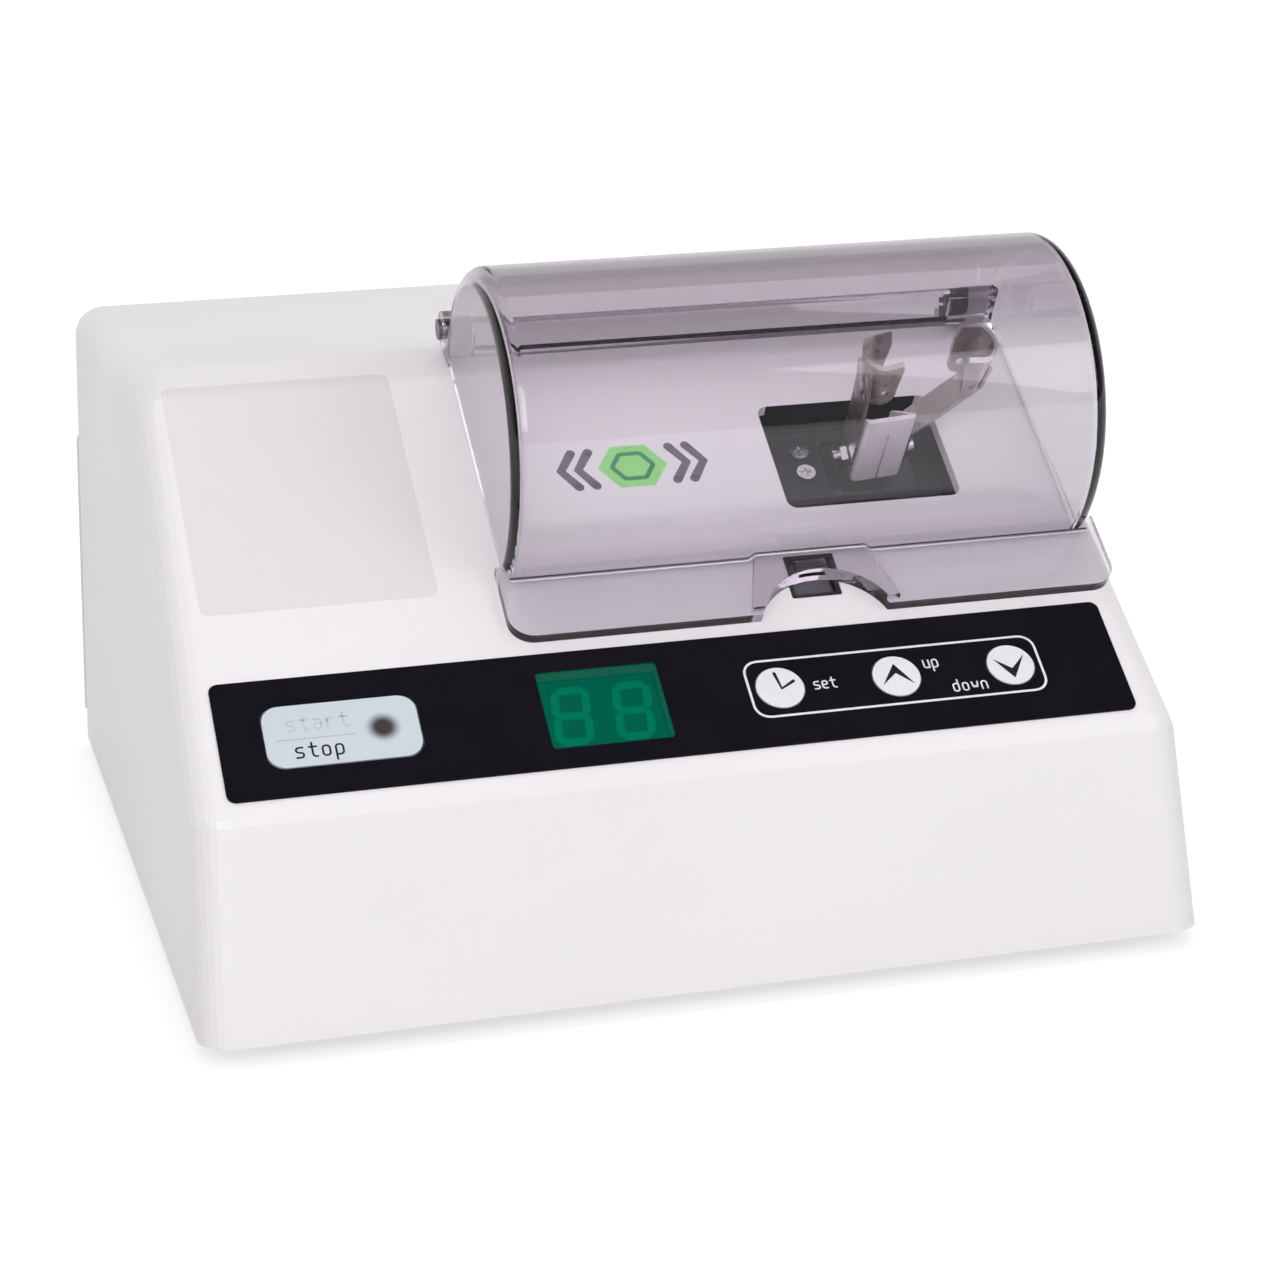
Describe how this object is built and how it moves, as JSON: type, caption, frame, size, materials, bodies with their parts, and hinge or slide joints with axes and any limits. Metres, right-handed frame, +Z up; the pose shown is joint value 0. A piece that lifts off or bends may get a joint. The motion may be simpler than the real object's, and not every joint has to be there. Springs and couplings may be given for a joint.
{
  "type": "dental amalgamator",
  "caption": "Benchtop dental capsule mixer: wedge-shaped white casing with a timer panel, a hinged smoky clear dome over a sprung fork, and an oblique-hub motor drive inside.",
  "frame": {"origin": "Middle of the footprint, with the rear fittings counted in, on the surface the feet stand on.", "axes": "+Z up, -Y towards the operator and the control panel, +X to the operator's right."},
  "size_m": [0.22, 0.2754, 0.1505],
  "materials": {
    "casing_white": "smooth moulded white",
    "chassis_white": "white powder-coated sheet",
    "rubber_black": "matte",
    "steel": "bright zinc-plated",
    "film_black": "printed control film",
    "window_green": "tinted green window",
    "key_white": "white membrane keys",
    "key_pale": "pale start and stop key",
    "board_green": "solder-masked board",
    "black_plastic": "black moulding",
    "segments_green": "lit segments",
    "lens": "diffuse lens",
    "cover_smoke": "clear smoky lilac acrylic",
    "lug_white": "white moulding",
    "clip_dark": "dark acetal",
    "guard_dark": "dark grey tray",
    "motor_grey": "grey enamel",
    "cast_alloy": "cast, machined faces",
    "laminations": "stacked sheet",
    "bracket_steel": "bent sheet",
    "bronze_steel": "tempered spring steel",
    "clip_grey": "satin folded sheet",
    "nylon": "natural nylon",
    "brass": "bright contacts",
    "rocker_red": "glossy rocker",
    "glass_tube": "fuse tube",
    "coil_amber": "varnished winding and tape"
  },
  "bodies": {
    "base": {"casing": "casing_white", "chassis": "chassis_white", "feet": "rubber_black", "foot_screws": "steel", "casing_screws": "steel", "control_film": "film_black", "display_window": "window_green", "control_board": "board_green", "inner_screws": "steel", "key_switches": "black_plastic", "display_module": "black_plastic", "display_segments": "segments_green", "status_light": "lens", "controller_chip": "black_plastic", "catch_lining": "black_plastic", "cover_switch": "black_plastic", "hinge_lugs": "lug_white", "hinge_pins": "steel", "friction_clip": "clip_dark", "splash_guard": "guard_dark", "motor_can": "motor_grey", "motor_end_bell": "cast_alloy", "motor_bearings": "steel", "stator": "laminations", "motor_bracket": "bracket_steel", "rubber_mounts": "rubber_black", "mount_screws": "steel", "tail_guide": "nylon", "mains_inlet": "black_plastic", "inlet_pins": "brass", "switch_frame": "black_plastic", "transformer_core": "laminations", "transformer_coil": "coil_amber", "power_board": "board_green", "board_posts": "steel", "power_parts": "black_plastic"},
    "rotor": {"motor_shaft": "steel", "rotor_core": "laminations", "motor_fan": "black_plastic", "oblique_hub": "cast_alloy", "balance_weight": "steel", "hub_screw": "steel", "bearing_inner_ring": "steel"},
    "arm": {"bearing_outer_ring": "steel", "shaker_arm": "cast_alloy", "tail_pin": "steel", "fork_clip": "clip_grey", "prong_screw": "steel"},
    "left_prong": {"left_prong": "bronze_steel"},
    "right_prong": {"right_prong": "steel"},
    "cover": {"cover": "cover_smoke"},
    "start_stop_key": {"start_stop_key": "key_pale"},
    "set_key": {"set_key": "key_white"},
    "up_key": {"up_key": "key_white"},
    "down_key": {"down_key": "key_white"},
    "catch_plunger": {"catch_plunger": "motor_grey"},
    "power_rocker": {"power_rocker": "rocker_red"},
    "fuse_drawer": {"fuse_drawer": "black_plastic", "fuse": "glass_tube"}
  },
  "joints": [
    {"name": "cover_hinge", "type": "hinge", "parent": "base", "child": "cover", "pos_m": [0, -0.03206, 0.13299], "axis": [-1, 0, 0], "range_deg": [0, 110]},
    {"name": "motor_spin", "type": "hinge", "parent": "base", "child": "rotor", "pos_m": [0.062, -0.03004, 0.06739], "axis": [1, 0, 0], "continuous": true},
    {"name": "arm_nutation", "type": "hinge", "parent": "rotor", "child": "arm", "pos_m": [0.062, -0.03004, 0.06739], "axis": [0.9962, 0.0673, 0.0554], "continuous": true},
    {"name": "left_prong_flex", "type": "hinge", "parent": "arm", "child": "left_prong", "pos_m": [0.05547, -0.05625, 0.09828], "axis": [0.0872, -0.7687, -0.6337], "range_deg": [0, 2.5], "stiffness_Nm_per_rad": 5, "springref_deg": -1.72},
    {"name": "right_prong_flex", "type": "hinge", "parent": "arm", "child": "right_prong", "pos_m": [0.06853, -0.05536, 0.09901], "axis": [-0.0872, 0.7687, 0.6337], "range_deg": [0, 2.5], "stiffness_Nm_per_rad": 5, "springref_deg": -1.72},
    {"name": "start_stop_key_press", "type": "slide", "parent": "base", "child": "start_stop_key", "axis": [0, 0.6361, -0.7716], "range_m": [0, 0.0004], "stiffness_N_per_m": 900, "springref_m": -0.0006},
    {"name": "set_key_press", "type": "slide", "parent": "base", "child": "set_key", "axis": [0, 0.6361, -0.7716], "range_m": [0, 0.0004], "stiffness_N_per_m": 500, "springref_m": -0.0006},
    {"name": "up_key_press", "type": "slide", "parent": "base", "child": "up_key", "axis": [0, 0.6361, -0.7716], "range_m": [0, 0.0004], "stiffness_N_per_m": 500, "springref_m": -0.0006},
    {"name": "down_key_press", "type": "slide", "parent": "base", "child": "down_key", "axis": [0, 0.6361, -0.7716], "range_m": [0, 0.0004], "stiffness_N_per_m": 500, "springref_m": -0.0006},
    {"name": "catch_plunger_lift", "type": "slide", "parent": "base", "child": "catch_plunger", "axis": [0, -0.6361, 0.7716], "range_m": [0, 0.0013]},
    {"name": "power_rocker_tilt", "type": "hinge", "parent": "base", "child": "power_rocker", "pos_m": [-0.022, 0.13255, 0.048], "axis": [1, 0, 0], "range_deg": [0, 20]},
    {"name": "fuse_drawer_slide", "type": "slide", "parent": "base", "child": "fuse_drawer", "axis": [0, 1, 0], "range_m": [0, 0.012]}
  ],
  "couplings": [
    {"joint": "arm_nutation", "follows": "motor_spin", "ratio": -1},
    {"joint": "catch_plunger_lift", "follows": "cover_hinge", "m_per_rad": 0.0006765}
  ]
}
